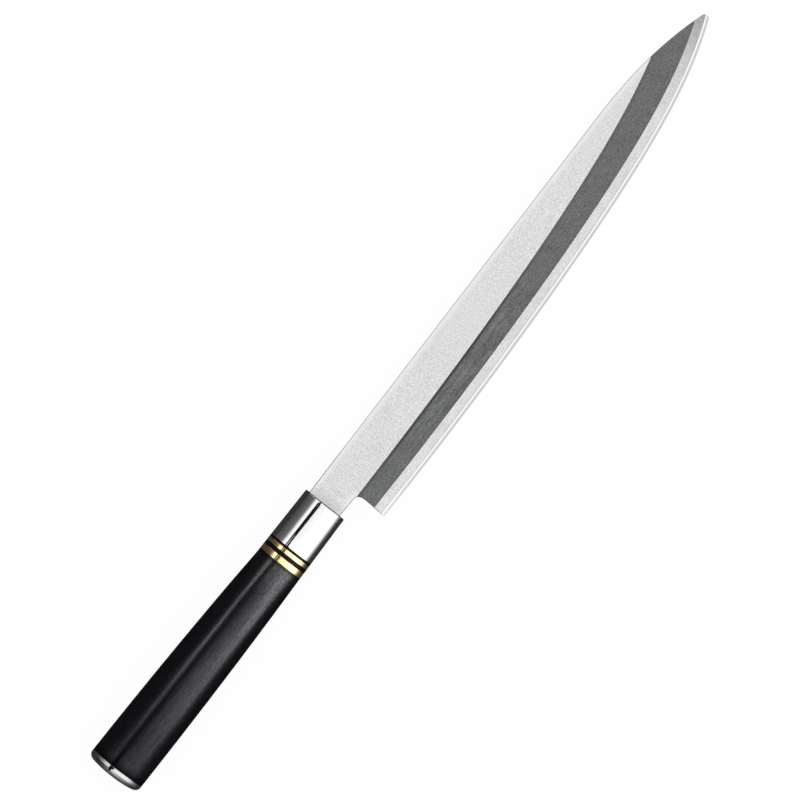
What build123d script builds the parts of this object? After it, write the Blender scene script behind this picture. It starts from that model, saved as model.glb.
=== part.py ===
from build123d import *
import os
from math import cos, radians, sin, tan

# A yanagiba: a long single-bevel slicing knife with a D-section wooden handle.
# Millimetres. X runs from the butt to the tip, Y from the edge to the spine,
# Z out of the front, bevelled face. While it is made, X = 0 is the mouth of
# the ferrule and the handle's axis lies on Y = Z = 0.

# Blade outline
blade_length = 270.3        # mouth of the ferrule to the tip
neck_top = 9.04             # handle axis to the spine, at the ferrule
spine_climb = 5.65          # rise of the straight spine over the blade's length
nose_length = 65.4          # stretch before the tip where the spine curves down
nose_drop = 9.6             # how far it curves down
nose_power = 2.32           # how late it does so
heel_setback = 12.8         # mouth of the ferrule to the heel's face
heel_depth = 23.05          # handle axis to the edge, at the heel
edge_rise = 25.6            # climb of the edge from the heel to the tip
belly_share = 0.614         # share of that climb in the long gentle curve
belly_power = 2
sweep_power = 8.26          # the rest sweeps up just before the tip
tip_round = 1.3             # length of the rounded point
neck_depth = 7.8            # handle axis to the underside of the neck
neck_fillet = 3.5           # inner corner between neck and heel
heel_lean = 0.9             # the heel's corner reaches back this much
heel_corner_radius = 1.0

# Blade section
neck_thickness = 3.4        # at the ferrule
tip_thickness = 2.1         # of the flat stock at the tip, before the bevel
bevel_width = 14.85         # edge to the bevel's upper line, at the heel
bevel_spread_shares = (0.271, -0.480, 0.557)   # how the bevel widens to the tip
honed_width = 1.9           # narrow honed bevel along the edge
honed_height_share = 0.185  # its height, of the thickness there
edge_land = 0.08            # thickness left at the edge
hard_layer_neck = 1.46      # hard steel behind the soft layer
hard_layer_tip = 0.76
hard_layer_setback = 5.0    # mouth of the ferrule to where the hard steel starts

# Hollow of the back
hollow_depth = 0.4
hollow_setback = 22.0       # mouth of the ferrule to the hollow
hollow_tip_gap = 16.0       # hollow to the tip
spine_rim = 2.2             # flat left along the spine
edge_rim = 1.5              # flat left along the edge
hollow_station_shares = (0, 0.03, 0.1, 0.4, 0.7, 0.9, 0.97, 1)
hollow_fullness_shares = (0.4, 0.75, 1, 1, 0.95, 0.8, 0.6, 0.3)

# Tang
tang_length = 92.0
tang_root_height = 10.0
tang_end_height = 6.0
tang_root_thickness = 3.0
tang_end_thickness = 2.2

# Handle, along its axis
ferrule_length = 24.25
front_spacer_width = 1.05
front_ring_width = 1.95
middle_spacer_width = 1.95
rear_ring_width = 2.8
grip_length = 113.6
cap_length = 4.25           # to the top of its dome

# Handle section, from the axis out, at three places
mouth_spine_side = 10.9
mouth_edge_side = 10.2
mouth_back = 8.8
mouth_front = 9.5
grip_front_spine_side = 10.75
grip_front_edge_side = 11.35
grip_front_back = 9.0
grip_front_front = 9.8
butt_spine_side = 12.55
butt_edge_side = 14.05
butt_back = 10.8
butt_front = 11.6
side_belly = 0.55           # how far the grip swells between its ends, in plan
face_belly = 0.4            # and front to back
back_flat_half_width = 3.2  # half of the flat along the handle's back, which keeps the knife from rolling
ridge_mouth_offset = 2.6    # ridge of the D, from the axis towards the spine
ridge_butt_offset = 1.5
ridge_half_width = 0.75     # half of the rounded crest
ridge_tilt = 14             # degrees that each face falls away from the ridge
front_fullness_share = 0.5
oval_fullness_share = 0.5523   # control point of a quarter ellipse

# Joints inside the handle
ferrule_wall = 2.5          # end wall at the mouth
mouth_round = 0.5
cap_dome_radius = 64.0      # the butt is slightly domed
cap_round = 2.8             # between the dome and the sides
dowel_diameter = 13.4
dowel_wall = 6.2            # solid wood of the dowel behind its tang slot
glue_gap = 0.05             # round the dowel and the pins
tang_clearance = 0.6        # bedding round the tang, each side
slot_clearance = 0.15       # round the tang in the ferrule's wall
end_gap = 0.3               # at the end of each blind hole
pin_diameter = 3.0
pin_in_cap = 2.3
pin_in_grip = 9.5
pin_spacing = 13.0

overrun = 4.0               # all cuts reach this far past what they cut
curve_points = 9            # points through which each long curve runs

back_level = -neck_thickness / 2
heel_x = heel_setback - heel_lean      # corner of the heel, where the edge starts
ring_front = -ferrule_length
grip_front = ring_front - front_spacer_width - front_ring_width - middle_spacer_width - rear_ring_width
grip_rear = grip_front - grip_length
butt_end = grip_rear - cap_length


# Curves of the blade
def spine_at(x):
    nose = max(0, (x - blade_length + nose_length) / nose_length)
    return neck_top + spine_climb * x / blade_length - nose_drop * nose ** nose_power


def along(x):
    return max(0, (x - heel_x) / (blade_length - heel_x))


def edge_at(x):
    u = along(x)
    climb = belly_share * u ** belly_power + (1 - belly_share) * u ** sweep_power
    return -heel_depth + edge_rise * climb


def thickness_at(x):
    return neck_thickness + (tip_thickness - neck_thickness) * x / blade_length


def bevel_width_at(x):
    u = along(x)
    first, second, third = bevel_spread_shares
    return bevel_width * (1 + first * u + second * u ** 2 + third * u ** 3)


def hard_layer_at(x):
    return hard_layer_neck + (hard_layer_tip - hard_layer_neck) * x / blade_length


def stations(start, end, count=curve_points):
    return [start + (end - start) * i / (count - 1) for i in range(count)]


# Blade
def blade_outline():
    nose_start = blade_length - nose_length
    point_start = blade_length - tip_round
    spine_break = Vector(nose_start, spine_at(nose_start))
    spine_end = Vector(point_start, spine_at(point_start))
    edge_end = Vector(point_start, edge_at(point_start))
    heel_corner = Vector(heel_x, -heel_depth)
    neck_corner = Vector(heel_setback, -neck_depth)
    nose_points = [Vector(x, spine_at(x)) for x in stations(nose_start, point_start)]
    edge_points = [Vector(x, edge_at(x)) for x in stations(heel_x, point_start)]
    spine = Line(Vector(0, neck_top), spine_break)
    nose = Spline(*nose_points)
    point = ThreePointArc(spine_end, Vector(blade_length, (spine_end.Y + edge_end.Y) / 2), edge_end)
    edge = Spline(*edge_points)
    heel = Line(heel_corner, neck_corner)
    neck = Line(neck_corner, Vector(0, -neck_depth))
    root = Line(Vector(0, -neck_depth), Vector(0, neck_top))
    outline = make_face([spine, nose, point, edge, heel, neck, root])
    corner = outline.vertices().sort_by_distance(neck_corner)[0]
    outline = fillet(corner, neck_fillet)
    corner = outline.vertices().sort_by_distance(heel_corner)[0]
    return fillet(corner, heel_corner_radius)


def flat_stock():
    # the outline as forged, thinning towards the tip on its front
    stock = extrude(Plane.XY.offset(back_level) * blade_outline(), neck_thickness + overrun)
    end = blade_length + overrun
    above = [
        (-overrun, back_level + thickness_at(-overrun)),
        (end, back_level + thickness_at(end)),
        (end, neck_thickness + overrun * 2),
        (-overrun, neck_thickness + overrun * 2),
    ]
    return stock - wedge(above)


def wedge(corners):
    # a prism across the blade, from corners given as (x, z)
    half_width = heel_depth + overrun
    face = make_face(Polyline([Vector(x, -half_width, z) for x, z in corners], close=True))
    return extrude(face, amount=half_width * 2, dir=(0, 1, 0))


def bevel_cutter(lower_width, lower_height, upper_width, upper_height):
    # what grinding one bevel takes away; each size is a function of x, from the edge up
    wires = []
    for x in stations(-overrun, blade_length + overrun):
        slope = (upper_height(x) - lower_height(x)) / (upper_width(x) - lower_width(x))
        foot_y = edge_at(x) + lower_width(x) - overrun
        foot_z = back_level + lower_height(x) - overrun * slope
        crest_y = edge_at(x) + upper_width(x) + overrun
        crest_z = back_level + upper_height(x) + overrun * slope
        corners = [Vector(x, foot_y, foot_z), Vector(x, crest_y, crest_z), Vector(x, foot_y, crest_z)]
        wires.append(Wire.make_polygon(corners))
    return Solid.make_loft(wires)


def main_bevel():
    return bevel_cutter(
        lambda x: honed_width,
        lambda x: honed_height_share * thickness_at(x),
        bevel_width_at,
        thickness_at,
    )


def honed_bevel():
    return bevel_cutter(
        lambda x: 0,
        lambda x: edge_land,
        lambda x: honed_width,
        lambda x: honed_height_share * thickness_at(x),
    )


def back_hollow():
    # the shallow trough ground into the back, inside its flat rims
    start = hollow_setback
    end = blade_length - hollow_tip_gap
    wires = []
    for place, fullness in zip(hollow_station_shares, hollow_fullness_shares):
        x = start + (end - start) * place
        low = edge_at(x) + edge_rim
        high = spine_at(x) - spine_rim
        middle = (low + high) / 2
        half = (high - low) / 2 * fullness
        left = Vector(x, middle - half, back_level)
        right = Vector(x, middle + half, back_level)
        crown = Vector(x, middle, back_level + hollow_depth * fullness)
        below = Vector(0, 0, -overrun)
        wires.append(Wire([
            ThreePointArc(left, crown, right),
            Line(right, right + below),
            Line(right + below, left + below),
            Line(left + below, left),
        ]))
    return Solid.make_loft(wires, ruled=True)


def tang():
    root = Plane.YZ * Rectangle(tang_root_height, tang_root_thickness)
    end = Plane.YZ.offset(-tang_length) * Rectangle(tang_end_height, tang_end_thickness)
    return loft([root, end], ruled=True)


def blade():
    body = flat_stock() - main_bevel() - honed_bevel() - back_hollow()
    return body + tang()


def hard_layer_block():
    end = blade_length + overrun
    return wedge([
        (hard_layer_setback, back_level - overrun),
        (hard_layer_setback, back_level + hard_layer_at(hard_layer_setback)),
        (end, back_level + hard_layer_at(end)),
        (end, back_level - overrun),
    ])


# Handle section
def handle_size(x, mouth, grip_end, butt, swell):
    # straight from the mouth to the grip, swelling over the grip, steady over the cap
    if x >= grip_front:
        return mouth + (grip_end - mouth) * x / grip_front
    u = min(1, (grip_front - x) / grip_length)
    return grip_end + (butt - grip_end) * u + 4 * swell * u * (1 - u)


def handle_section(x):
    spine_side = handle_size(x, mouth_spine_side, grip_front_spine_side, butt_spine_side, side_belly)
    edge_side = handle_size(x, mouth_edge_side, grip_front_edge_side, butt_edge_side, side_belly)
    back = handle_size(x, mouth_back, grip_front_back, butt_back, face_belly)
    front = handle_size(x, mouth_front, grip_front_front, butt_front, face_belly)
    ridge = ridge_mouth_offset + (ridge_butt_offset - ridge_mouth_offset) * x / butt_end
    shoulder = front - ridge_half_width * tan(radians(ridge_tilt))
    spine_shoulder = Vector(x, ridge + ridge_half_width, shoulder)
    edge_shoulder = Vector(x, ridge - ridge_half_width, shoulder)
    spine_point = Vector(x, spine_side, 0)
    edge_point = Vector(x, -edge_side, 0)
    middle = (spine_side - edge_side) / 2
    flat_spine_side = Vector(x, middle + back_flat_half_width, -back)
    flat_edge_side = Vector(x, middle - back_flat_half_width, -back)
    crest = Bezier(edge_shoulder, Vector(x, ridge, front), spine_shoulder)
    return Wire([
        crest,
        front_face_curve(spine_shoulder, spine_point, 1),
        back_curve(spine_point, flat_spine_side),
        Line(flat_spine_side, flat_edge_side),
        back_curve(edge_point, flat_edge_side),
        front_face_curve(edge_shoulder, edge_point, -1),
    ])


def front_face_curve(shoulder, side_point, way):
    # falls away from the ridge at a steady tilt and turns down into the side
    reach = front_fullness_share * abs(side_point.Y - shoulder.Y)
    lean = Vector(0, way * reach * cos(radians(ridge_tilt)), -reach * sin(radians(ridge_tilt)))
    lift = Vector(0, 0, front_fullness_share * shoulder.Z)
    return Bezier(shoulder, shoulder + lean, side_point + lift, side_point)


def back_curve(side_point, flat_point):
    # a quarter of an ellipse
    drop = Vector(0, 0, flat_point.Z * oval_fullness_share)
    sweep = Vector(0, (side_point.Y - flat_point.Y) * oval_fullness_share, 0)
    return Bezier(side_point, side_point + drop, flat_point + sweep, flat_point)


def handle_slice(front_x, rear_x):
    return Solid.make_loft([handle_section(front_x), handle_section(rear_x)], ruled=True)


def bore(diameter, front_x, rear_x, y=0):
    circle = Plane.YZ.offset(rear_x) * Pos(y, 0) * Circle(diameter / 2)
    return extrude(circle, front_x - rear_x)


def tang_slot(clearance, front_x, rear_x):
    height = tang_root_height + clearance * 2
    thickness = tang_root_thickness + clearance * 2
    mouth = Plane.YZ.offset(rear_x) * Rectangle(height, thickness)
    return extrude(mouth, front_x - rear_x)


# Handle pieces
dowel_bore = dowel_diameter + glue_gap * 2
dowel_front = -ferrule_wall
slot_rear = -tang_length - end_gap
dowel_rear = slot_rear - dowel_wall


def ferrule():
    body = handle_slice(0, ring_front)
    mouth_edges = body.edges().group_by(Axis.X)[-1]
    body = body.fillet(mouth_round, mouth_edges)
    body -= bore(dowel_bore, dowel_front, ring_front - overrun)
    return body - tang_slot(slot_clearance, overrun, dowel_front - overrun)


def ring(front_x, width):
    return handle_slice(front_x, front_x - width) - bore(dowel_bore, front_x + overrun, front_x - width - overrun)


def grip():
    middle = grip_front - grip_length / 2
    body = Solid.make_loft([handle_section(x) for x in (grip_front, middle, grip_rear)])
    body -= bore(dowel_bore, grip_front + overrun, dowel_rear - end_gap)
    for y in pin_places():
        body -= bore(pin_bore, grip_rear + pin_in_grip + end_gap, grip_rear - overrun, y)
    return body


def dowel():
    body = bore(dowel_diameter, dowel_front, dowel_rear)
    return body - tang_slot(tang_clearance, dowel_front + overrun, slot_rear)


def bedding():
    return tang_slot(tang_clearance, dowel_front, slot_rear) - tang()


# End cap and its pins
pin_bore = pin_diameter + glue_gap * 2


def pin_places():
    middle = (butt_spine_side - butt_edge_side) / 2
    return [middle - pin_spacing / 2, middle + pin_spacing / 2]


def end_cap():
    # a slice of the handle, domed at the butt and rounded over its sides
    ball = Pos(butt_end + cap_dome_radius, 0, 0) * Sphere(cap_dome_radius)
    body = (handle_slice(grip_rear, butt_end - overrun) & ball).solid()
    dome = body.faces().sort_by(Axis.X)[0]
    body = body.fillet(cap_round, dome.edges())
    for y in pin_places():
        body -= bore(pin_bore, grip_rear + overrun, grip_rear - pin_in_cap - end_gap, y)
    return body


def cap_pins():
    lower, upper = [bore(pin_diameter, grip_rear + pin_in_grip, grip_rear - pin_in_cap, y) for y in pin_places()]
    return lower + upper


# Assembly
def pieces():
    whole_blade = blade()
    hard_layer = hard_layer_block()
    front_ring_x = ring_front - front_spacer_width
    middle_spacer_x = front_ring_x - front_ring_width
    rear_ring_x = middle_spacer_x - middle_spacer_width
    return {
        "blade_cladding": whole_blade - hard_layer,
        "blade_edge_steel": whole_blade & hard_layer,
        "ferrule": ferrule(),
        "front_spacer": ring(ring_front, front_spacer_width),
        "front_ring": ring(front_ring_x, front_ring_width),
        "middle_spacer": ring(middle_spacer_x, middle_spacer_width),
        "rear_ring": ring(rear_ring_x, rear_ring_width),
        "handle_grip": grip(),
        "core_dowel": dowel(),
        "tang_bedding": bedding(),
        "end_cap": end_cap(),
        "cap_pins": cap_pins(),
    }


def export(parts):
    # the origin goes to the middle of the knife's footprint, on the level it lies on
    box = Compound(list(parts.values())).bounding_box()
    middle = box.center()
    to_origin = Pos(-middle.X, -middle.Y, -box.min.Z)
    os.makedirs("parts", exist_ok=True)
    for name, shape in parts.items():
        export_step(to_origin * shape, f"parts/{name}.step")
    print("origin moved by", to_origin.position)


export(pieces())
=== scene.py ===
import bpy, bmesh
import numpy as np
from math import comb, cos, hypot, pi, radians, sin, sqrt, tan
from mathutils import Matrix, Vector


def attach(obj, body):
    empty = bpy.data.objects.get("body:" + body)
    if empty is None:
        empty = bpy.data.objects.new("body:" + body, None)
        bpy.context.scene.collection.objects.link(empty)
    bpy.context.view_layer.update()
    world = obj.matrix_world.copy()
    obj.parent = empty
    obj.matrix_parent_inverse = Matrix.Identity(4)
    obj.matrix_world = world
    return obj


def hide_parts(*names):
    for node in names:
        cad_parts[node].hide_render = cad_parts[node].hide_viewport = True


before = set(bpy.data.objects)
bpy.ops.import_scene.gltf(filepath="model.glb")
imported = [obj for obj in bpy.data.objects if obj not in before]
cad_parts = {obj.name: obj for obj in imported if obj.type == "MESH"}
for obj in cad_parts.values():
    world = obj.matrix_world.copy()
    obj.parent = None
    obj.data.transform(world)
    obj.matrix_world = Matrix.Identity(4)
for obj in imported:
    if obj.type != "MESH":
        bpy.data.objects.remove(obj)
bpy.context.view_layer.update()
print("frame loaded")

mm = 0.001
mouth = Vector((-60.225, 4.81639, 10.8)) * mm    # middle of the ferrule's mouth, where the blade starts
white = (1, 1, 1, 1)

scene = bpy.context.scene
scene.view_settings.view_transform = "Standard"


# Node helpers
def put(tree, socket, value):
    if isinstance(value, bpy.types.NodeSocket):
        tree.links.new(value, socket)
    else:
        socket.default_value = value


def addNode(tree, kind, sockets=None, **settings):
    made = tree.nodes.new(kind)
    for name, value in settings.items():
        setattr(made, name, value)
    for name, value in (sockets or {}).items():
        put(tree, made.inputs[name], value)
    return made


def calc(tree, operation, *values, clamp=False):
    made = addNode(tree, "ShaderNodeMath", operation=operation, use_clamp=clamp)
    for i, value in enumerate(values):
        put(tree, made.inputs[i], value)
    return made.outputs[0]


def times(tree, first, second):
    return calc(tree, "MULTIPLY", first, second)


def minus(tree, first, second):
    return calc(tree, "SUBTRACT", first, second)


def vectorCalc(tree, operation, *values):
    made = addNode(tree, "ShaderNodeVectorMath", operation=operation)
    for i, value in enumerate(values):
        put(tree, made.inputs["Scale" if operation == "SCALE" and i == 1 else i], value)
    return made.outputs["Value" if operation in ("DOT_PRODUCT", "LENGTH") else "Vector"]


def remap(tree, value, fromLow, fromHigh, toLow, toHigh, smooth=True):
    made = addNode(tree, "ShaderNodeMapRange", {
        "Value": value, "From Min": fromLow, "From Max": fromHigh, "To Min": toLow, "To Max": toHigh,
    }, interpolation_type="SMOOTHSTEP" if smooth else "LINEAR")
    return made.outputs["Result"]


def rising(tree, value, low, high, most=1.0):
    return remap(tree, value, low, high, 0.0, most)


def falling(tree, value, low, high, most=1.0):
    return remap(tree, value, low, high, most, 0.0)


def blend(tree, shares, *values):
    total = None
    for share, value in zip(shares, values):
        scaled = times(tree, value, share)
        total = scaled if total is None else calc(tree, "ADD", total, scaled)
    return total


def mixColour(tree, share, first, second, way="MIX"):
    made = addNode(tree, "ShaderNodeMix", data_type="RGBA", blend_type=way)
    for socket, value in ((0, share), (6, first), (7, second)):
        put(tree, made.inputs[socket], value)
    return made.outputs[2]


def grey(value):
    return (value, value, value, 1)


def toGrey(tree, share, field, value):
    return mixColour(tree, share, field, grey(value))


def noise(tree, place, scale, detail, roughness=0.5, distortion=0.0):
    return addNode(tree, "ShaderNodeTexNoise", {
        "Vector": place, "Scale": scale, "Detail": detail, "Roughness": roughness, "Distortion": distortion,
    }).outputs["Fac"]


def objectPlace(tree):
    return addNode(tree, "ShaderNodeTexCoord").outputs["Object"]


def alongKnife(tree, axis="X"):
    return addNode(tree, "ShaderNodeSeparateXYZ", {0: objectPlace(tree)}).outputs[axis]


def pastMouth(tree):
    return minus(tree, alongKnife(tree), mouth.x)


def readAttribute(tree, name):
    return addNode(tree, "ShaderNodeAttribute", attribute_name=name).outputs["Fac"]


def inMetres(values):
    return [value * mm for value in values]


def newGroup(name, inputs, outputs, kind="ShaderNodeTree"):
    tree = bpy.data.node_groups.new(name, kind)
    for label, socketType, value in inputs:
        made = tree.interface.new_socket(name=label, in_out="INPUT", socket_type=socketType)
        if value is not None:
            made.default_value = value
    for label, socketType in outputs:
        tree.interface.new_socket(name=label, in_out="OUTPUT", socket_type=socketType)
    return tree, tree.nodes.new("NodeGroupInput").outputs, tree.nodes.new("NodeGroupOutput").inputs


# Effects that several finishes share
noiseSpan = (0.3, 0.7)       # a noise's values lie between these almost everywhere
smudgeSpan = (0.42, 0.72)    # and a smudge is where they rise over these


def stretchedNoise(tree, value):
    return remap(tree, value, *noiseSpan, 0.0, 1.0, smooth=False)


def makeBrushLines():
    # fine parallel lines left by a belt or stone, few per metre along them and many across, and soft clouds
    tree, given, out = newGroup("brushLines", [
        ("Lines Per Metre", "NodeSocketVector", (4000, 90, 1000)),
        ("Unevenness", "NodeSocketFloat", 0.35),
    ], [("Lines", "NodeSocketFloat"), ("Clouds", "NodeSocketFloat")])
    place = objectPlace(tree)
    stretched = vectorCalc(tree, "MULTIPLY", place, given["Lines Per Metre"])
    coarse = noise(tree, stretched, scale=0.5, detail=3.0, roughness=0.7)
    fine = noise(tree, stretched, scale=1.6, detail=2.0, roughness=0.6)
    put(tree, out["Lines"], stretchedNoise(tree, blend(tree, (0.6, 0.4), coarse, fine)))
    clouds = minus(tree, noise(tree, place, scale=55.0, detail=3.0, roughness=0.55), 0.5)
    put(tree, out["Clouds"], calc(tree, "ADD", 0.5, times(tree, clouds, given["Unevenness"])))
    return tree


def makeSpeckle():
    # the tiny light and dark grains of a bead-blasted or stone-ground surface, and blotches of many grains
    tree, given, out = newGroup("stoneSpeckle", [
        ("Grain Size mm", "NodeSocketFloat", 0.3),
    ], [("Grain", "NodeSocketFloat"), ("Blotches", "NodeSocketFloat")])
    perMetre = calc(tree, "DIVIDE", 1 / mm, given["Grain Size mm"])
    inGrains = vectorCalc(tree, "SCALE", objectPlace(tree), perMetre)
    grain = noise(tree, inGrains, scale=1.0, detail=2.0, roughness=0.6)
    blotches = noise(tree, inGrains, scale=0.09, detail=4.0, roughness=0.6, distortion=0.4)
    put(tree, out["Grain"], stretchedNoise(tree, grain))
    put(tree, out["Blotches"], stretchedNoise(tree, blotches))
    return tree


def makeHandling():
    # faint wiping marks and smudges that a polished piece picks up in use
    tree, given, out = newGroup("handlingMarks", [
        ("Marks Per Metre", "NodeSocketVector", (60, 140, 140)),
    ], [("Smudge", "NodeSocketFloat")])
    wiped = vectorCalc(tree, "MULTIPLY", objectPlace(tree), given["Marks Per Metre"])
    smudge = noise(tree, wiped, scale=1.0, detail=5.0, roughness=0.6, distortion=0.8)
    put(tree, out["Smudge"], rising(tree, smudge, *smudgeSpan))
    return tree


brushLines = makeBrushLines()
stoneSpeckle = makeSpeckle()
handlingMarks = makeHandling()


def useGroup(tree, group, sockets=None):
    return addNode(tree, "ShaderNodeGroup", sockets, node_tree=group).outputs


def useLines(tree, perMetre, unevenness=0.35):
    return useGroup(tree, brushLines, {"Lines Per Metre": perMetre, "Unevenness": unevenness})


def useSpeckle(tree, grain):
    return useGroup(tree, stoneSpeckle, {"Grain Size mm": grain})


def newMaterial(name, **settings):
    material = bpy.data.materials.new(name)
    material.use_nodes = True
    shader = material.node_tree.nodes["Principled BSDF"]
    for label, value in settings.items():
        shader.inputs[label.replace("_", " ")].default_value = value
    return material, material.node_tree, shader.inputs


def bump(tree, height, depth):
    made = addNode(tree, "ShaderNodeBump", {"Height": height, "Distance": depth * mm, "Strength": 1.0})
    return made.outputs["Normal"]


def dress(tree, sockets, colour, roughness, normal):
    for label, value in (("Base Color", colour), ("Roughness", roughness), ("Normal", normal)):
        put(tree, sockets[label], value)


# Blade finishes. Their gaps and depths are in millimetres, and their places along the knife in metres
satinFlat = {
    "colour": 0.98, "dark": 0.46, "toneShares": (0.25, 0.65, 0.1), "roughness": (0.33, 0.23),
    "lines": (2600, 300, 1000), "unevenness": 0.6, "lineDepth": 0.001, "grain": 0.5,
    # the strip beside the spine is brightened with a painted highlight, and its rounded corner darkened
    # with painted shade
    "spineHighlight": 0.87, "highlightShare": 0.75, "highlightReach": (0.4, 3.4), "rim": 0.3, "rimShadeReach": (0.2, 0.4),
    # the blade is darkened beside the ferrule's mouth with a painted shadow
    "jointShadowTone": 0.12, "jointShadowReach": (0.03, 0.35),
}


def makeSatinFlat():
    look = satinFlat
    material, tree, sockets = newMaterial("satinFlat", Metallic=1.0)
    marks = useLines(tree, look["lines"], look["unevenness"])
    grain = useSpeckle(tree, look["grain"])["Grain"]
    tone = blend(tree, look["toneShares"], marks["Lines"], grain, marks["Clouds"])
    field = mixColour(tree, tone, grey(look["dark"]), grey(look["colour"]))
    # painted highlight, a little brighter beside the spine, and painted shade, a thin dark line on its
    # rounded corner
    rim = readAttribute(tree, "rimGap")
    glow = falling(tree, rim, *look["highlightReach"], look["highlightShare"])
    field = toGrey(tree, glow, field, look["spineHighlight"])
    field = toGrey(tree, falling(tree, rim, *look["rimShadeReach"]), field, look["rim"])
    # painted shadow in the joint with the ferrule, darkening the blade beside the mouth
    shadow = falling(tree, pastMouth(tree), *inMetres(look["jointShadowReach"]))
    dress(tree, sockets, toGrey(tree, shadow, field, look["jointShadowTone"]),
          remap(tree, marks["Lines"], 0, 1, *look["roughness"], smooth=False),
          bump(tree, marks["Lines"], look["lineDepth"]))
    return material


stoneBand = {
    "colour": 0.255, "dark": 0.075, "toneShares": (0.85, 0.15), "roughness": (0.45, 0.57),
    "grain": 0.5, "grainDepth": 0.003,
    "fleck": 0.36, "fleckGrain": 0.85, "fleckSpan": (0.9, 1.0), "fleckShare": 0.7,
    "streaks": (160, 1500, 1000), "streaksRise": (-0.03, 0.0, 0.15, 0.95),
    "streaksFade": (0.03, 0.1, 1.0, 0.2), "green": (0.97, 1, 1, 1), "greenReach": (-0.02, 0.06),
    "border": 0.06, "upperLine": (-1.9, -0.3), "lowerLine": (0.2, 0.7), "lowerShare": 0.5,
    "borderRise": (-0.05, -0.01, 0.4, 1.0), "borderFade": (0.03, 0.1, 1.0, 0.3),
}


def makeStoneBand():
    look = stoneBand
    material, tree, sockets = newMaterial("stoneBand", Metallic=1.0)
    speckle = useSpeckle(tree, look["grain"])
    along = alongKnife(tree)

    def clearest(rise, fade):
        return times(tree, remap(tree, along, *look[rise]), remap(tree, along, *look[fade]))

    streaks = minus(tree, useLines(tree, look["streaks"])["Lines"], 0.5)
    streaks = times(tree, streaks, clearest("streaksRise", "streaksFade"))
    tone = blend(tree, look["toneShares"], speckle["Grain"], speckle["Blotches"])
    tone = calc(tree, "ADD", tone, streaks, clamp=True)
    field = mixColour(tree, tone, grey(look["dark"]), grey(look["colour"]))
    # faintly green towards the heel
    tint = mixColour(tree, rising(tree, along, *look["greenReach"]), look["green"], white)
    field = mixColour(tree, 1.0, field, tint, "MULTIPLY")
    flecks = useSpeckle(tree, look["fleckGrain"])["Grain"]
    field = toGrey(tree, rising(tree, flecks, *look["fleckSpan"], look["fleckShare"]), field, look["fleck"])
    # darker lines where the band meets the flat above and the hard steel below, clearest in the middle
    strength = clearest("borderRise", "borderFade")
    upper = times(tree, rising(tree, readAttribute(tree, "shoulderGap"), *look["upperLine"]), strength)
    lower = falling(tree, readAttribute(tree, "layerGap"), *look["lowerLine"], look["lowerShare"])
    border = calc(tree, "MAXIMUM", upper, times(tree, lower, strength))
    dress(tree, sockets, toGrey(tree, border, field, look["border"]),
          remap(tree, speckle["Grain"], 0, 1, *look["roughness"], smooth=False),
          bump(tree, speckle["Grain"], look["grainDepth"]))
    return material


hardBand = {
    "colour": 0.93, "dark": 0.5, "toneShares": (0.8, 0.2), "roughness": (0.36, 0.44),
    "grain": 0.5, "grainDepth": 0.002, "tipReach": (0.157, 0.208), "tipShade": 0.45,
    # the outer strip of the honed bevel is greyed with painted shade
    "honedReach": (1.8, 1.95), "honedInner": 0.93, "honedOuterShade": 0.6, "outerReach": (0.85, 1.15),
    "honedRoughness": 0.15, "outerRougher": 0.12,
    "shoulder": 0.42, "shoulderShare": 0.6, "shoulderRise": (1.75, 1.95), "shoulderFade": (2.05, 2.3),
}


def makeHardBand():
    look = hardBand
    material, tree, sockets = newMaterial("hardBand", Metallic=1.0)
    speckle = useSpeckle(tree, look["grain"])
    tone = blend(tree, look["toneShares"], speckle["Grain"], speckle["Blotches"])
    field = mixColour(tree, tone, grey(look["dark"]), grey(look["colour"]))
    toTip = remap(tree, alongKnife(tree), *look["tipReach"], 0.0, 1.0, smooth=False)
    field = toGrey(tree, times(tree, times(tree, toTip, toTip), look["tipShade"]), field, 0.0)
    fromEdge = readAttribute(tree, "edgeGap")
    honed = falling(tree, fromEdge, *look["honedReach"])
    outer = falling(tree, fromEdge, *look["outerReach"])
    # painted shade: the outer strip of the honed bevel is greyer than the inner
    honedTone = mixColour(tree, outer, grey(look["honedInner"]), grey(look["honedOuterShade"]))
    # the fine dark line along the shoulder of the honed bevel
    rise = rising(tree, fromEdge, *look["shoulderRise"])
    fade = falling(tree, fromEdge, *look["shoulderFade"])
    line = times(tree, times(tree, rise, fade), look["shoulderShare"])
    ground = minus(tree, 1.0, honed)
    rough = remap(tree, speckle["Grain"], 0, 1, *look["roughness"], smooth=False)
    polished = calc(tree, "ADD", look["honedRoughness"], times(tree, outer, look["outerRougher"]))
    dress(tree, sockets, toGrey(tree, line, mixColour(tree, honed, field, honedTone), look["shoulder"]),
          calc(tree, "ADD", times(tree, rough, ground), times(tree, polished, honed)),
          bump(tree, times(tree, speckle["Grain"], ground), look["grainDepth"]))
    return material


hollowBack = {
    "colour": 0.72, "dark": 0.6, "roughness": (0.23, 0.33),
    "lines": (70, 3200, 1000), "unevenness": 0.4, "lineDepth": 0.0012,
}


def makeHollowBack():
    look = hollowBack
    material, tree, sockets = newMaterial("hollowBack", Metallic=1.0)
    marks = useLines(tree, look["lines"], look["unevenness"])
    dress(tree, sockets, mixColour(tree, marks["Lines"], grey(look["dark"]), grey(look["colour"])),
          remap(tree, marks["Clouds"], *noiseSpan, *look["roughness"]),
          bump(tree, marks["Lines"], look["lineDepth"]))
    return material


bladeMaterials = [makeSatinFlat(), makeStoneBand(), makeHardBand(), makeHollowBack()]
print("blade finishes ready")


# Mesh helpers
meshing = {
    "join": 0.0004, "flat": 0.001,    # points closer than join become one, and faces thinner than flat go
    "sharpAngle": 38,    # in degrees between two faces, past which their edge stays crisp
}


def addObject(name, data):
    made = bpy.data.objects.new(name, data)
    scene.collection.objects.link(made)
    return made


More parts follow.
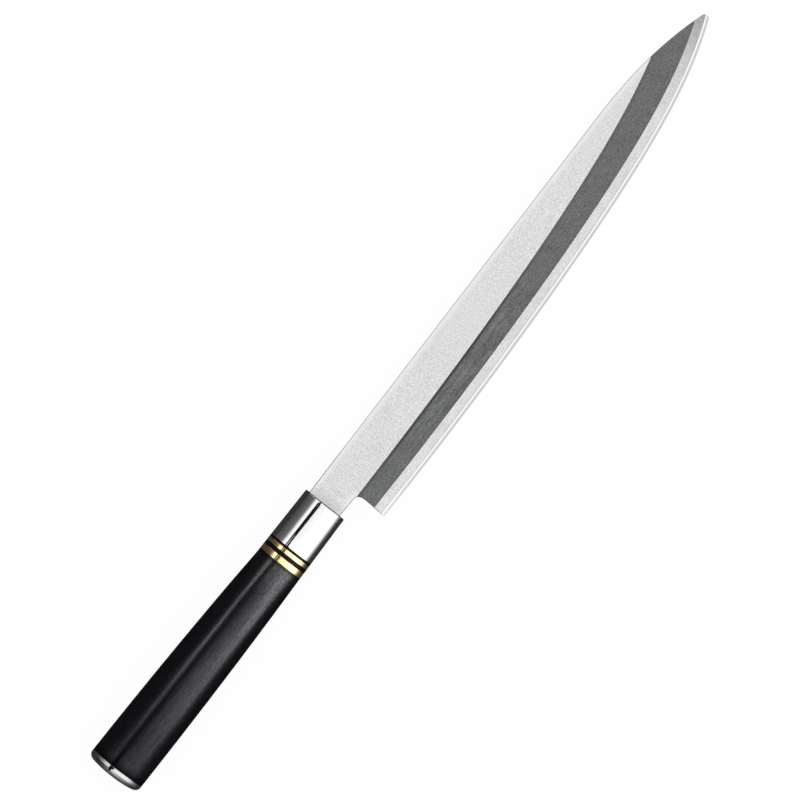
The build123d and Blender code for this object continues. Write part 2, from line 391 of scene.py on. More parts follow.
def faceOutwards(mesh, name, joining=False):
    body = bmesh.new()
    body.from_mesh(mesh)
    if joining:
        bmesh.ops.remove_doubles(body, verts=body.verts, dist=meshing["join"] * mm)
        bmesh.ops.dissolve_degenerate(body, edges=body.edges, dist=meshing["flat"] * mm)
    bmesh.ops.recalc_face_normals(body, faces=body.faces)
    openEdges = [edge for edge in body.edges if len(edge.link_faces) != 2]
    print(name, "faces", len(body.faces), "open edges", len(openEdges))
    body.to_mesh(mesh)
    body.free()


def applyModifiers(piece, name):
    bpy.context.view_layer.update()
    graph = bpy.context.evaluated_depsgraph_get()
    mesh = bpy.data.meshes.new_from_object(piece.evaluated_get(graph), depsgraph=graph)
    piece.modifiers.clear()
    piece.data = mesh
    mesh.name = name
    return mesh


def smoothFaces(mesh):
    mesh.polygons.foreach_set("use_smooth", [True] * len(mesh.polygons))
    mesh.set_sharp_from_angle(angle=radians(meshing["sharpAngle"]))


def standFor(piece, node):
    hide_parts(node)
    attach(piece, "root")


def root(value):
    return sqrt(max(0, value))


def eased(share):
    return share * share * (3 - 2 * share)


# Blade, in millimetres from the middle of the ferrule's mouth
blade = {
    "length": 270.3, "neckTop": 9.04, "spineClimb": 5.65,
    "noseLength": 65.4, "noseDrop": 9.6, "nosePower": 2.32, "tipRound": 1.3,
    "heelSetback": 12.8, "heelDepth": 23.05, "heelLean": 0.9, "heelRound": 1.0,
    "edgeRise": 25.6, "bellyShare": 0.614, "sweepPower": 8.26, "neckDepth": 7.8, "neckFillet": 3.5,
    "neckThickness": 3.4, "tipThickness": 2.1,
    "bevelWidth": 14.85, "bevelSpread": (1, 0.271, -0.480, 0.557),
    "honedWidth": 1.9, "honedHeight": 0.185, "honedCrown": 0.3, "edgeLand": 0.05,
    "layerNeck": 1.475, "layerTip": 0.785, "layerSetback": 5.0,
    "hollowDepth": 0.4, "hollowSetback": 22.0, "hollowTipGap": 16.0, "hollowFade": 4.0,
    "hollowStations": (0, 0.03, 0.1, 0.4, 0.7, 0.9, 0.97, 1),
    "hollowShares": (0.4, 0.75, 1, 1, 0.95, 0.8, 0.6, 0.3),
    "spineRim": 2.2, "edgeRim": 1.5, "spineRound": 0.35, "backRound": 0.15, "roundShare": 0.45,
    "tangLength": 92.0, "tangRoot": (10.0, 3.0), "tangEnd": (6.0, 2.2), "tangOverlap": 0.8,
}
heelX = blade["heelSetback"] - blade["heelLean"]
backLevel = -blade["neckThickness"] / 2


def pastHeel(x):
    return max(0, (x - heelX) / (blade["length"] - heelX))


def straightSpine(x):
    nose = max(0, (x - blade["length"] + blade["noseLength"]) / blade["noseLength"])
    climb = blade["spineClimb"] * x / blade["length"]
    return blade["neckTop"] + climb - blade["noseDrop"] * nose ** blade["nosePower"]


def straightEdge(x):
    u, belly = pastHeel(x), blade["bellyShare"]
    climb = belly * u ** 2 + (1 - belly) * u ** blade["sweepPower"]
    return -blade["heelDepth"] + blade["edgeRise"] * climb


tipStart = blade["length"] - blade["tipRound"]
tipMiddle = (straightSpine(tipStart) + straightEdge(tipStart)) / 2
tipHalf = (straightSpine(tipStart) - straightEdge(tipStart)) / 2
tipRadius = (tipHalf ** 2 + blade["tipRound"] ** 2) / (2 * blade["tipRound"])


def tipBow(x):
    return root(tipRadius ** 2 - (x - blade["length"] + tipRadius) ** 2)


def spineAt(x):
    return straightSpine(x) if x < tipStart else tipMiddle + tipBow(x)


def edgeAt(x):
    return straightEdge(x) if x < tipStart else tipMiddle - tipBow(x)


def heightAt(x):
    return spineAt(x) - edgeAt(x)


def thicknessAt(x):
    return blade["neckThickness"] + (blade["tipThickness"] - blade["neckThickness"]) * x / blade["length"]


def bevelWidthAt(x):
    u = pastHeel(x)
    return blade["bevelWidth"] * sum(share * u ** power for power, share in enumerate(blade["bevelSpread"]))


def layerAt(x):
    return blade["layerNeck"] + (blade["layerTip"] - blade["layerNeck"]) * x / blade["length"]


def layerWidthAt(x):
    # where the weld line comes out on the bevel, measured from the edge
    honedHeight = blade["honedHeight"] * thicknessAt(x)
    slope = (thicknessAt(x) - honedHeight) / (bevelWidthAt(x) - blade["honedWidth"])
    return blade["honedWidth"] + (layerAt(x) - honedHeight) / slope


filletTop = -blade["neckDepth"]
filletBottom = filletTop - blade["neckFillet"]
filletStart = blade["heelSetback"] - blade["neckFillet"]


def heelFace(y):
    # the heel's face, running into the neck through its fillet and into the edge through a rounded corner
    fillet = blade["neckFillet"]
    lean = blade["heelLean"] * (filletTop - y) / (blade["heelDepth"] - blade["neckDepth"])
    x = blade["heelSetback"] - lean
    if y > filletBottom:
        x -= fillet - root(fillet ** 2 - (y - filletBottom) ** 2)
    return x + roundDrop(y + blade["heelDepth"], blade["heelRound"])


def neckUnderside(x):
    if x <= filletStart:
        return filletTop
    return filletBottom + root(blade["neckFillet"] ** 2 - (x - filletStart) ** 2)


def roundDrop(gap, radius):
    # how far a rounding of this radius draws in a point at this distance from the side that it ends on
    if gap >= radius or radius <= 0:
        return 0
    return radius - root(radius ** 2 - (radius - gap) ** 2)


cornerY = -blade["heelDepth"] + blade["bevelWidth"]      # the bevel's upper line starts here on the fillet
cornerX = heelFace(cornerY)


def neckGap(x, y):
    # distance to the neck's underside, or past it to the corner where it meets the bevel's line
    return max(0, y - neckUnderside(x)) if x <= cornerX else hypot(x - cornerX, y - cornerY)


def frontLevel(x, y, gap):
    # height of the front above the back plane; gap is the distance to the nearest blunt side
    w = y - edgeAt(x)
    thick, land, crown = thicknessAt(x), blade["edgeLand"], blade["honedCrown"]
    honedHeight = blade["honedHeight"] * thick
    if w < blade["honedWidth"]:
        v = w / blade["honedWidth"]
        level = land + (honedHeight - land) * ((1 - crown) * v + crown * v * (2 - v))
    else:
        rise = (thick - honedHeight) * (w - blade["honedWidth"]) / (bevelWidthAt(x) - blade["honedWidth"])
        level = min(thick, honedHeight + rise)
    return level - roundDrop(gap, min(blade["spineRound"], level * blade["roundShare"]))


def hollowAt(x):
    # middle, half width and depth of the hollow
    start, end = blade["hollowSetback"], blade["length"] - blade["hollowTipGap"]
    low, high = edgeAt(x) + blade["edgeRim"], spineAt(x) - blade["spineRim"]
    share = float(np.interp((x - start) / (end - start), blade["hollowStations"], blade["hollowShares"]))
    half = max(0.05, (high - low) / 2 * share)
    fade = min(1, max(0, (x - start) / blade["hollowFade"]), max(0, (end - x) / blade["hollowFade"]))
    return (low + high) / 2, half, blade["hollowDepth"] * share * eased(fade)


def backHeight(x, y, gap, level):
    middle, half, depth = hollowAt(x)
    inside = max(0, 1 - ((y - middle) / half) ** 2)
    return depth * inside + roundDrop(gap, min(blade["backRound"], level * blade["roundShare"]))


# Rows run from the edge to the spine, and the front and the back have as many rows each. The honed and
# back rim rows are measured from the edge, the low rows from the bevel's upper line, and the spine rows
# from the spine. They close up where the blade has less room than they need
bladeRows = {
    "honed": (0, 0.1, 0.3, 0.55, 0.8, 1.05, 1.3, 1.55, 1.75, 1.9, 2.05), "honedRoom": 2.4,
    "bandShares": (0.08, 0.18, 0.3, 0.42, 0.54, 0.66, 0.78, 0.9, 0.97), "close": 0.1,
    "low": (0, 0.03, 0.09, 0.18, 0.3, 0.45), "lowRoom": 0.9,
    "flatShares": (0.08, 0.2, 0.35, 0.5, 0.65, 0.8, 0.92),
    "spine": (0.5, 0.36, 0.22, 0.12, 0.05, 0.015, 0),
    "backRim": (0, 0.06, 0.15, 0.4, 0.8, 1.1, 1.3, 1.42, 1.47, 1.5),
    "hollowShares": (0, 0.15, 0.35, 0.55, 0.75, 0.92),
    "spineRimShares": (0, 0.05, 0.3, 0.55, 0.8, 0.95),
    "evenReach": 30,    # past the corner, over which the back's rows even out
}
bladeColumns = {
    "neck": (0, 1.2, 2.4, 3.6, 4.8, 5.2, 6.4, 7.6, 8.6, 9.3, 9.6, 10.0, 10.3, 10.55, 10.75, 10.85),
    "heel": (0, 0.03, 0.09, 0.18, 0.3, 0.5, 0.9),
    "middle": (1.6, 6, 190),    # start, gap to the tip and count
    "tipGaps": (5.2, 4.4, 3.7, 3.0, 2.4, 1.9), "bowAngles": (84, 72, 60, 48, 36, 24, 12, 0),
}


def between(low, high, shares):
    return [low + (high - low) * share for share in shares]


def spineBand(height):
    # heights of the rows beside the spine
    return [height - min(row, height * 0.5 * row / bladeRows["spine"][0]) for row in bladeRows["spine"]]


def bandRows(start, top):
    return between(start, top, bladeRows["bandShares"]) + [max(start, top - bladeRows["close"]), top]


def frontRows(x, height, width):
    # distances from the edge up to the bevel's upper line, then up to the spine
    rim = spineBand(height)
    top = max(0, min(width, rim[0]))
    honed = [row * min(1, top / bladeRows["honedRoom"]) for row in bladeRows["honed"]]
    near = [top + row * min(1, max(0, rim[0] - top) / bladeRows["lowRoom"]) for row in bladeRows["low"]]
    return honed + bandRows(honed[-1], top), near + between(near[-1], rim[0], bladeRows["flatShares"]) + rim


def backRows(x, height, width):
    middle, half, depth = hollowAt(x)
    band = spineBand(height)
    even = eased(min(1, max(0, (x - cornerX) / bladeRows["evenReach"])))
    top = max(0, min(width + (height / 2 - width) * even, band[0]))
    rim = max(0.0, min(middle - half - edgeAt(x), top))
    near = [row / blade["edgeRim"] * rim for row in bladeRows["backRim"]]
    near.append(min(top, rim + bladeRows["close"]))
    high = max(top, min(middle + half - edgeAt(x), band[0]))
    hollow = between(top, high, bladeRows["hollowShares"])
    hollow.append(max(hollow[-1], high - bladeRows["close"]))
    rims = between(high, band[0], bladeRows["spineRimShares"])
    return near + bandRows(near[-1], top), hollow + rims + band


def columnShares():
    room = blade["length"] - heelX
    start, gap, count = bladeColumns["middle"]
    middle = list(np.linspace(start, room - gap, count))
    tip = [room - gap for gap in bladeColumns["tipGaps"]]
    bow = [room - tipRadius * (1 - cos(radians(angle))) for angle in bladeColumns["bowAngles"]]
    return [value / room for value in [*bladeColumns["heel"], *middle, *tip, *bow]]


def bladeSheet(rowsAt, front):
    def point(x, w, gap):
        y = edgeAt(x) + w
        level = frontLevel(x, y, gap)
        return x, y, backLevel + (level if front else backHeight(x, y, gap, level))

    def upperColumn(x, rows):
        return [point(x, w, min(neckGap(x, edgeAt(x) + w), heightAt(x) - w)) for w in rows]

    # each row starts on the heel's face, at the height that it has there
    heelRows = rowsAt(cornerX, heightAt(cornerX), bevelWidthAt(cornerX))[0]
    starts = [heelFace(w - blade["heelDepth"]) for w in heelRows]
    lower, upper = [], []
    for x in bladeColumns["neck"]:
        upper.append(upperColumn(x, rowsAt(x, heightAt(x), neckUnderside(x) - edgeAt(x))[1]))
    for share in columnShares():
        x = cornerX + share * (blade["length"] - cornerX)
        below, above = rowsAt(x, heightAt(x), bevelWidthAt(x))
        places = [start + share * (blade["length"] - start) for start in starts]
        lower.append([point(place, w, min(place - start, heightAt(place) - w))
                      for place, start, w in zip(places, starts, below)])
        upper.append(upperColumn(x, above))
    return lower, upper


def buildBlade():
    points, faces, loops = [], [], []

    def addGrid(columns, flip):
        first, count = len(points), len(columns[0])
        for column in columns:
            points.extend(column)
        for i in range(len(columns) - 1):
            for a in range(first + i * count, first + i * count + count - 1):
                face = [a, a + count, a + count + 1, a + 1]
                faces.append(face[::-1] if flip else face)
        return [[first + i * count + j for j in range(count)] for i in range(len(columns))]

    for rowsAt, front in ((frontRows, True), (backRows, False)):
        lower, upper = bladeSheet(rowsAt, front)
        lowGrid, highGrid = addGrid(lower, not front), addGrid(upper, not front)
        loop = [highGrid[i][0] for i in range(len(upper) - len(lower))]      # along the neck's underside
        loop += lowGrid[0][::-1]                                 # down the heel
        loop += [column[0] for column in lowGrid[1:]]            # along the edge to the tip
        loop += [column[-1] for column in highGrid[::-1]]        # back along the spine
        loop += highGrid[0][1:-1][::-1]                          # down the root
        loops.append(loop)
    frontLoop, backLoop = loops
    for k in range(len(frontLoop)):
        after = (k + 1) % len(frontLoop)
        faces.append([backLoop[k], backLoop[after], frontLoop[after], frontLoop[k]])
    return points, faces


def cleanMesh(name, points, faces):
    mesh = bpy.data.meshes.new(name)
    mesh.from_pydata([Vector(p) * mm + mouth for p in points], [], faces)
    faceOutwards(mesh, name, joining=True)
    return addObject(name, mesh)


def blockMesh(name, lowEnd, highEnd):
    # a box from the four corners round each end
    faces = [(0, 3, 2, 1), (4, 5, 6, 7), (0, 1, 5, 4), (1, 2, 6, 5), (2, 3, 7, 6), (3, 0, 4, 7)]
    return cleanMesh(name, lowEnd + highEnd, faces)


def endFrame(x, half, low, high):
    return [(x, -half, low), (x, half, low), (x, half, high), (x, -half, high)]


def cut(name, body, tool, operation):
    made = addObject(name, body.data.copy())
    change = made.modifiers.new("cut", "BOOLEAN")
    change.operation, change.object, change.solver = operation, tool, "EXACT"
    applyModifiers(made, name)
    return made


def rimGapAt(x, y):
    # distance to the nearest blunt outline: the spine, the neck's underside or the heel
    gap = spineAt(min(x, blade["length"])) - y
    onHeel = x >= cornerX and y < cornerY
    return min(gap, max(0, x - heelFace(y)) if onHeel else neckGap(x, y))


# A face looks forwards where its normal rises at least this much, and the bands start this far before
# the corner of the neck and the heel
faceLimits = {"front": 0.6, "bandStart": 2.0}


def finishOf(face):
    # the place of a face's finish in the list of blade finishes
    x, y, z = (face.center - mouth) / mm
    w = y - edgeAt(x)
    if face.normal.z < faceLimits["front"]:
        return 3
    if x > cornerX - faceLimits["bandStart"] and w < bevelWidthAt(x) and not (x < cornerX and y > cornerY):
        return 2 if w < layerWidthAt(x) else 1
    return 0


def finishBlade(piece):
    # gaps that the finishes read, and the finish of each face
    mesh = piece.data
    gaps = []
    for vertex in mesh.vertices:
        x, y, z = (vertex.co - mouth) / mm
        w = y - edgeAt(min(x, blade["length"]))
        gaps.append((w, w - bevelWidthAt(x), w - layerWidthAt(x), rimGapAt(x, y)))
    for name, values in zip(("edgeGap", "shoulderGap", "layerGap", "rimGap"), zip(*gaps)):
        mesh.attributes.new(name, "FLOAT", "POINT").data.foreach_set("value", values)
    mesh.materials.clear()
    for material in bladeMaterials:
        mesh.materials.append(material)
    for face in mesh.polygons:
        face.material_index = finishOf(face)
    smoothFaces(mesh)


# How far the cutting block reaches past the tip, to each side and below the back
cutter = {"past": 5, "half": 40, "depth": 4}


def buildBladePieces():
    shell = cleanMesh("bladeShell", *buildBlade())
    tangEnds = ((-blade["tangLength"], *blade["tangEnd"]), (blade["tangOverlap"], *blade["tangRoot"]))
    tangPiece = blockMesh("tangBlock", *[
        endFrame(x, height / 2, -thick / 2, thick / 2) for x, height, thick in tangEnds])
    layerBlock = blockMesh("layerBlock", *[
        endFrame(x, cutter["half"], backLevel - cutter["depth"], backLevel + layerAt(x))
        for x in (blade["layerSetback"], blade["length"] + cutter["past"])])
    whole = cut("wholeBlade", shell, tangPiece, "UNION")
    cladding = cut("bladeCladding", whole, layerBlock, "DIFFERENCE")
    edgeSteel = cut("bladeEdgeSteel", whole, layerBlock, "INTERSECT")
    for spare in (shell, tangPiece, layerBlock, whole):
        bpy.data.objects.remove(spare)
    finishBlade(cladding)
    standFor(cladding, "blade_cladding")
    finishBlade(edgeSteel)
    standFor(edgeSteel, "blade_edge_steel")


buildBladePieces()
print("blade built")


# Handle: every piece follows one D section whose size changes along the axis.
# across is spine side, edge side and ridge offset; depth is half crest, front and back
handle = {
    "gripFront": -32.0, "gripLength": 113.6, "easeShare": 0.16, "flatHalf": 3.2, "ridgeTilt": 14,
    "bore": 6.75, "merge": 0.004,    # points closer than merge become one
    "mouthAcross": (10.9, 10.2, 2.6), "mouthDepth": (0.75, 9.5, 8.8),
    "gripAcross": (10.75, 11.35, 2.365), "gripDepth": (0.55, 9.8, 9.0),
    "buttAcross": (12.55, 14.05, 1.531), "buttDepth": (0.6, 11.6, 10.8),
    "swellAcross": (0.55, 0.55, 0), "swellDepth": (0, 0.4, 0.4),
}

# Handle finishes
mirrorSteel = {
    "colour": (0.87, 0.873, 0.88, 1), "roughness": (0.065, 0.09), "lines": (120, 7000, 7000),
    # the lip, the ridge's end and the rear rim are darkened with painted shade
    "lip": (-0.25, -0.175), "ridge": 2.4, "ridgeHalf": (0.4, 0.7), "ridgeEnd": (-1.9, -1.4),
    "rearRim": (-24.2, -23.95), "paintedShadeTone": 0.03,
}
capSteel = {"colour": (0.84, 0.84, 0.845, 1), "roughness": (0.07, 0.11), "lines": (7000, 300, 300)}
polish = {"unevenness": 0.3, "smudgeShare": 0.6, "smudgeTone": 0.94, "lineDepth": 0.0001}


def paintedShadePlaces(tree, look):
    # painted shade: the lip round the blade's neck is darkened, and so is the last bit of the ridge
    toMouth = pastMouth(tree)
    atLip = rising(tree, toMouth, *inMetres(look["lip"]))
    toRidge = calc(tree, "ABSOLUTE", minus(tree, alongKnife(tree, "Y"), mouth.y + look["ridge"] * mm))
    atRidge = times(tree, falling(tree, toRidge, *inMetres(look["ridgeHalf"])),
                    rising(tree, toMouth, *inMetres(look["ridgeEnd"])))
    # painted shade also darkens its rear rim against the spacer
    atRear = falling(tree, toMouth, *inMetres(look["rearRim"]))
    return calc(tree, "MAXIMUM", calc(tree, "MAXIMUM", atLip, atRidge), atRear)


def makePolished(name, look):
    material, tree, sockets = newMaterial(name, Metallic=1.0)
    marks = useLines(tree, look["lines"], polish["unevenness"])
    smudge = useGroup(tree, handlingMarks)["Smudge"]
    dim = tuple(value * polish["smudgeTone"] for value in look["colour"][:3]) + (1,)
    field = mixColour(tree, times(tree, smudge, polish["smudgeShare"]), look["colour"], dim)
    if "lip" in look:
        # painted shade on the lip, the ridge's end and the rear rim
        field = toGrey(tree, paintedShadePlaces(tree, look), field, look["paintedShadeTone"])
    dress(tree, sockets, field, remap(tree, smudge, 0, 1, *look["roughness"]),
          bump(tree, marks["Lines"], polish["lineDepth"]))
    return material


ringBrass = {
    "colour": (0.97, 0.69, 0.33, 1), "deep": (0.93, 0.62, 0.26, 1), "roughness": (0.09, 0.18),
    "lines": (9000, 150, 150), "unevenness": 0.6, "lineDepth": 0.0003,
}


def makeRingBrass():
    look = ringBrass
    material, tree, sockets = newMaterial("ringBrass", Metallic=1.0)
    marks = useLines(tree, look["lines"], look["unevenness"])
    smudge = useGroup(tree, handlingMarks)["Smudge"]
    dress(tree, sockets, mixColour(tree, smudge, look["colour"], look["deep"]),
          remap(tree, marks["Clouds"], *noiseSpan, *look["roughness"]),
          bump(tree, marks["Lines"], look["lineDepth"]))
    return material


blackSpacer = {
    "colour": (0.002, 0.0017, 0.0023, 1), "fleck": (0.006, 0.0048, 0.0066, 1), "grain": 0.5,
    "roughness": (0.23, 0.36), "specular": 0.13,
}


def makeBlackSpacer():
    look = blackSpacer
    material, tree, sockets = newMaterial("blackSpacer", Specular_IOR_Level=look["specular"])
    speckle = useSpeckle(tree, look["grain"])
    put(tree, sockets["Base Color"], mixColour(tree, speckle["Grain"], look["colour"], look["fleck"]))
    put(tree, sockets["Roughness"], remap(tree, speckle["Blotches"], 0, 1, *look["roughness"]))
    return material


# the oiled film on the wood is thin over the pores, and beside the rings and the cap: a reach and a share
blackWood = {
    "colour": (0.0014, 0.0012, 0.0018, 1), "light": (0.004, 0.0034, 0.0048, 1), "toneShares": (0.4, 0.6),
    "fibres": (90, 2400, 2400), "fibreUnevenness": 0.8, "streaks": (14, 420, 420), "streakUnevenness": 0.5,
    "roughness": 0.6, "grain": 0.55, "poreDepth": 0.003, "poreShares": (0.3, 0.7),
    "filmIor": 2.0, "filmRoughness": 0.17, "filmShares": (0.55, 0.45), "film": (0.2, 0.8, 0.2, 0.86),
    "thinFront": (2.4, 0.35), "thinRear": (5.0, 0.1),
}


def makeBlackWood():
    look = blackWood
    material, tree, sockets = newMaterial(
        "blackWood", Roughness=look["roughness"], Specular_IOR_Level=0.0,
        Coat_IOR=look["filmIor"], Coat_Roughness=look["filmRoughness"])
    fibres = useLines(tree, look["fibres"], look["fibreUnevenness"])["Lines"]
    streaks = useLines(tree, look["streaks"], look["streakUnevenness"])["Lines"]
    grain = useSpeckle(tree, look["grain"])["Grain"]
    tone = blend(tree, look["toneShares"], fibres, streaks)
    put(tree, sockets["Base Color"], mixColour(tree, tone, look["colour"], look["light"]))
    film = remap(tree, blend(tree, look["filmShares"], grain, fibres), *look["film"], smooth=False)
    behindRings = minus(tree, mouth.x + handle["gripFront"] * mm, alongKnife(tree))
    length = handle["gripLength"] * mm
    reach, share = look["thinFront"]
    film = times(tree, film, remap(tree, behindRings, 0, reach * mm, share, 1.0))
    reach, share = look["thinRear"]
    film = times(tree, film, remap(tree, behindRings, length - reach * mm, length, 1.0, share))
    put(tree, sockets["Coat Weight"], film)
    normal = bump(tree, blend(tree, look["poreShares"], fibres, grain), look["poreDepth"])
    put(tree, sockets["Normal"], normal)
    put(tree, sockets["Coat Normal"], normal)
    return material


handleMaterials = {
    "mirrorSteel": makePolished("mirrorSteel", mirrorSteel), "capSteel": makePolished("capSteel", capSteel),
    "ringBrass": makeRingBrass(), "blackSpacer": makeBlackSpacer(), "blackWood": makeBlackWood(),
}
print("handle finishes ready")

# oval is how far a quarter ellipse's handles reach, reachShare how far those of the front's curves do,
# and the rest is the number of points on each curve
section = {
    "oval": 0.5523, "reachShare": 0.5,
    "ridge": 8, "front": 22, "back": 18, "flat": 3, "edgeFront": 26,
}
sectionSizes = ("spine", "edge", "ridge", "crest", "front", "back", "flat")


def roundSection():
    # each point is two rows of shares, for across and for up, of the sizes above
    tilt, oval, reachShare = radians(handle["ridgeTilt"]), section["oval"], section["reachShare"]

    def size(**shares):
        return np.array([shares.get(name, 0) for name in sectionSizes], float)

    def pair(y, z):
        return np.array([y, z])

    def curve(points, count):
        # points along a Bezier curve, without its end
        n = len(points) - 1
        return [sum(comb(n, k) * t ** k * (1 - t) ** (n - k) * point for k, point in enumerate(points))
                for t in np.linspace(0, 1, count + 1)[:-1]]

    none = size()
    shoulderZ = size(front=1, crest=-tan(tilt))
    spineShoulder, edgeShoulder = (pair(size(ridge=1, crest=way), shoulderZ) for way in (1, -1))
    apex = pair(size(ridge=1), size(front=1))
    spineSide, edgeSide = pair(size(spine=1), none), pair(size(edge=-1), none)
    middle = size(spine=0.5, edge=-0.5)
    spineFlat, edgeFlat = (pair(middle + size(flat=way), size(back=-1)) for way in (1, -1))

    def frontCurve(shoulder, side, way):
        reach = (side[0] - shoulder[0]) * way * reachShare
        leaving = pair(way * reach * cos(tilt), -reach * sin(tilt))
        return [shoulder, shoulder + leaving, side + pair(none, shoulderZ * reachShare), side]

    def backCurve(side, flat):
        down, inwards = pair(none, size(back=-oval)), pair((side - flat)[0] * oval, none)
        return [side, side + down, flat + inwards, flat]

    curves = (
        ([edgeShoulder, apex, spineShoulder], "ridge"),
        (frontCurve(spineShoulder, spineSide, 1), "front"),
        (backCurve(spineSide, spineFlat), "back"),
        ([spineFlat, edgeFlat], "flat"),
        (backCurve(edgeSide, edgeFlat)[::-1], "back"),
        (frontCurve(edgeShoulder, edgeSide, -1)[::-1], "edgeFront"),
    )
    return [row for points, name in curves for row in curve(points, section[name])]


sectionRound = roundSection()


def sleeveBase(name, stations, closedRing):
    # bare grid that carries each point's shares; the handle tree gives it its place
    around, count = len(sectionRound), len(stations)
    mesh = bpy.data.meshes.new(name)
    turns = np.linspace(0, 2 * pi, around, endpoint=False)
    points = [(station[0] * mm, sin(a), cos(a)) for station in stations for a in turns]
    faces = []
    for i in range(count if closedRing else count - 1):
        for j in range(around):
            nextI, nextJ = (i + 1) % count, (j + 1) % around
            faces.append((i * around + j, i * around + nextJ, nextI * around + nextJ, nextI * around + j))
    mesh.from_pydata(points, [], faces)
    shares = np.array(sectionRound)    # points round the section, across or up, sizes
    fields = {
        "ySides": shares[:, 0, 0:3], "yDepths": shares[:, 0, 3:6],
        "zSides": shares[:, 1, 0:3], "zDepths": shares[:, 1, 3:6],
    }
    for label, values in fields.items():
        layer = mesh.attributes.new(label, "FLOAT_VECTOR", "POINT")
        layer.data.foreach_set("vector", np.tile(values, (count, 1)).astype(np.float32).ravel())
    singles = {"yFlat": np.tile(shares[:, 0, 6], count)}
    scales = {"place": mm, "inset": mm, "hole": 1, "reach": 1, "domed": 1}
    for k, (label, scale) in enumerate(scales.items()):
        singles[label] = np.repeat([station[k] * scale for station in stations], around)
    for label, values in singles.items():
        mesh.attributes.new(label, "FLOAT", "POINT").data.foreach_set("value", values.astype(np.float32))
    return mesh


# Handle pieces. The negative numbers are places along the axis, behind the ferrule's mouth
collar = {
    "ferruleLength": 24.25, "mouthRound": 0.3, "wall": 2.5, "rim": 0.1,
    "spacers": ((-24.25, -25.3), (-27.25, -29.2)), "rings": ((-25.3, -27.25), (-29.2, -32.0)),
}
grip = {"rear": -145.6, "boreEnd": -98.8, "rim": 0.12}
cap = {"end": -150.1, "domeRadius": 64.0, "round": 2.8, "domeAngle": 10}


def domeInset():
    return cap["round"] * (1 - sin(radians(cap["domeAngle"])))


def handleSizes():
    # what the handle tree is given, in metres
    sizes = {
        "Grip Front": handle["gripFront"] * mm, "Grip Length": handle["gripLength"] * mm,
        "Flat Half Width": handle["flatHalf"] * mm, "Bore Radius": handle["bore"] * mm,
        "Dome Radius": cap["domeRadius"] * mm, "Dome Inset": domeInset() * mm,
        "Ease Share": handle["easeShare"], "Mouth Place": tuple(mouth),
    }
    for place in ("mouth", "grip", "butt", "swell"):
        for kind in ("Across", "Depth"):
            sizes[f"{place.capitalize()} {kind}"] = tuple(inMetres(handle[place + kind]))
    return sizes


def makeHandleTree():
    tree, given, out = newGroup("dSectionHandle", [
        ("Geometry", "NodeSocketGeometry", None),
        *[(label, "NodeSocketVector" if isinstance(value, tuple) else "NodeSocketFloat", value)
          for label, value in handleSizes().items()],
        ("Material", "NodeSocketMaterial", None),
    ], [("Geometry", "NodeSocketGeometry")], kind="GeometryNodeTree")

    def read(name, kind="FLOAT"):
        made = addNode(tree, "GeometryNodeInputNamedAttribute", {"Name": name}, data_type=kind)
        return made.outputs["Attribute"]

    def joined(first, second):
        return vectorCalc(tree, "ADD", first, second)

    def apart(first, second):
        return vectorCalc(tree, "SUBTRACT", first, second)

    def scaled(vector, size):
        return vectorCalc(tree, "SCALE", vector, size)

    place, reach = read("place"), read("reach")
    collar = calc(tree, "DIVIDE", place, given["Grip Front"], clamp=True)
    along = calc(tree, "DIVIDE", minus(tree, given["Grip Front"], place), given["Grip Length"], clamp=True)
    belly = times(tree, times(tree, along, 4.0), minus(tree, 1.0, along))

    # the grip leaves the rings at their slope, and comes to its own over the first part of its length
    done = calc(tree, "DIVIDE", along, given["Ease Share"], clamp=True)
    left = minus(tree, 1.0, done)
    ease = times(tree, times(tree, done, given["Ease Share"]), times(tree, left, left))
    lengthRatio = calc(tree, "DIVIDE", given["Grip Length"], times(tree, given["Grip Front"], -1.0))

    def sizesAlong(kind):
        collarPart = apart(given["Grip " + kind], given["Mouth " + kind])
        gripPart = apart(given["Butt " + kind], given["Grip " + kind])
        swell = given["Swell " + kind]
        kink = apart(joined(gripPart, scaled(swell, 4.0)), scaled(collarPart, lengthRatio))
        total = joined(given["Mouth " + kind], scaled(collarPart, collar))
        total = joined(joined(total, scaled(gripPart, along)), scaled(swell, belly))
        return apart(total, scaled(kink, ease))

    across, depth = sizesAlong("Across"), sizesAlong("Depth")

    def summed(sides, depths):
        return calc(tree, "ADD", vectorCalc(tree, "DOT_PRODUCT", read(sides, "FLOAT_VECTOR"), across),
                    vectorCalc(tree, "DOT_PRODUCT", read(depths, "FLOAT_VECTOR"), depth))

    y = calc(tree, "ADD", summed("ySides", "yDepths"), times(tree, read("yFlat"), given["Flat Half Width"]))
    skin = addNode(tree, "ShaderNodeCombineXYZ", {"Y": y, "Z": summed("zSides", "zDepths")}).outputs[0]
    outward = vectorCalc(tree, "NORMALIZE", skin)
    drawnIn = apart(skin, scaled(outward, read("inset")))
    toBore = scaled(apart(scaled(outward, given["Bore Radius"]), drawnIn), read("hole"))
    # the end cap's face bulges as a ball does, about the handle's axis
    fromAxis = times(tree, minus(tree, vectorCalc(tree, "LENGTH", skin), given["Dome Inset"]), reach)
    bulge = calc(tree, "DIVIDE", times(tree, fromAxis, fromAxis), times(tree, given["Dome Radius"], 2.0))
    x = calc(tree, "ADD", place, times(tree, bulge, read("domed")))
    alongAxis = addNode(tree, "ShaderNodeCombineXYZ", {"X": x}).outputs[0]
    point = joined(scaled(joined(drawnIn, toBore), reach), alongAxis)
    steps = (
        ("GeometryNodeSetPosition", {"Position": joined(point, given["Mouth Place"])}),
        ("GeometryNodeMergeByDistance", {"Distance": handle["merge"] * mm}),
        ("GeometryNodeRealizeInstances", {}),
        ("GeometryNodeSetMaterial", {"Material": given["Material"]}),
    )
    flow = given["Geometry"]
    for kind, sockets in steps:
        flow = addNode(tree, kind, {"Geometry": flow, **sockets}).outputs[0]
    put(tree, out["Geometry"], flow)
    return tree


handleTree = makeHandleTree()

